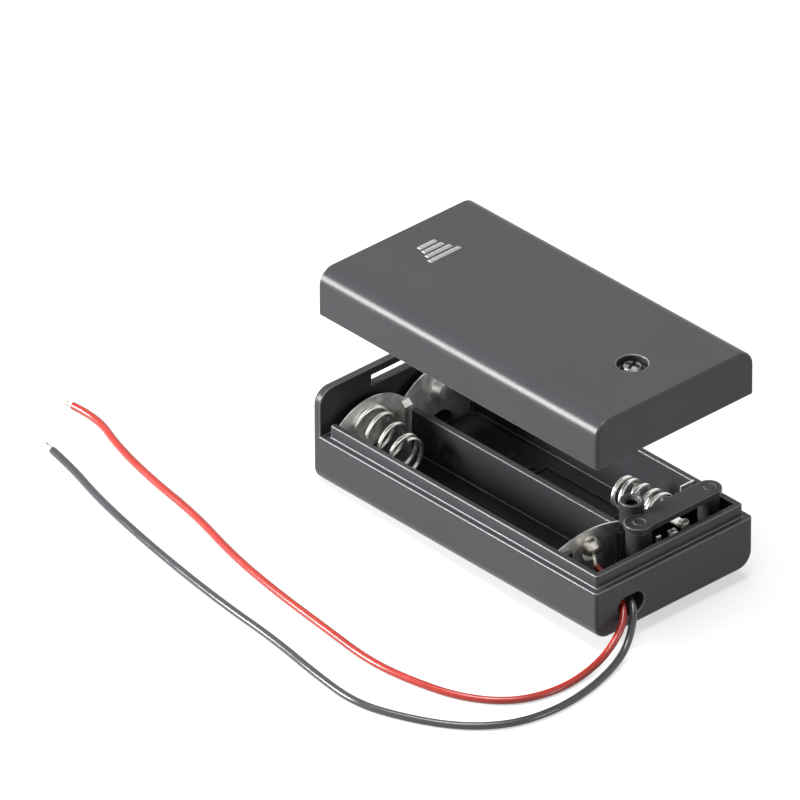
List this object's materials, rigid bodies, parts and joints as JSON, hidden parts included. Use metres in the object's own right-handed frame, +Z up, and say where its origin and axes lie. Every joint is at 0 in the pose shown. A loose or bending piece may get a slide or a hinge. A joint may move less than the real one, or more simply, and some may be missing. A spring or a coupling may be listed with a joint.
{
  "type": "cylindrical cell holder",
  "caption": "Holder for two AA cells side by side: rim-sided tray with screw-on lid, coil springs, button contacts, slide switch under the tray, and red and black leads.",
  "frame": {"origin": "centre of the tray's flat underside, without its switch knob and leads", "axes": "+X along the cells towards the end where the leads come out, +Y across the cells towards the bay whose spring is at the lead end, +Z up from the tray through the lid"},
  "size_m": [0.1223, 0.0759, 0.0451],
  "materials": {
    "case": "fine satin moulding",
    "screw": "zinc plated",
    "contacts": "nickel plated sheet",
    "springs": "bright nickel plated wire",
    "switch_board": "pressed laminate",
    "switch_knob": "moulded",
    "solder": "tinned",
    "red_insulation": "smooth insulation",
    "black_insulation": "smooth insulation"
  },
  "bodies": {
    "tray": {"base_case": "case", "switch_strap": "case", "link_plate": "contacts", "positive_plate": "contacts", "spring_plate": "contacts", "near_spring": "springs", "far_spring": "springs", "switch_frame": "contacts", "switch_board": "switch_board", "switch_terminal_1": "contacts", "switch_terminal_2": "contacts", "switch_terminal_3": "contacts", "positive_solder": "solder", "negative_solder": "solder", "tail_solder": "solder", "red_lead": "red_insulation", "black_lead": "black_insulation", "red_lead_tip": "solder", "black_lead_tip": "solder"},
    "lid": {"lid": "case"},
    "screw": {"lid_screw": "screw"},
    "switch_knob": {"switch_slider": "switch_knob", "switch_contact": "contacts"}
  },
  "joints": [
    {"name": "lid_lift", "type": "slide", "parent": "tray", "child": "lid", "axis": [0, 0, 1], "range_m": [-0.024, 0]},
    {"name": "screw_turn", "type": "hinge", "parent": "lid", "child": "screw", "pos_m": [0.0241, 0, 0.039], "axis": [0, 0, 1], "continuous": true},
    {"name": "switch_slide", "type": "slide", "parent": "tray", "child": "switch_knob", "axis": [0, 1, 0], "range_m": [-0.003, 0]}
  ]
}
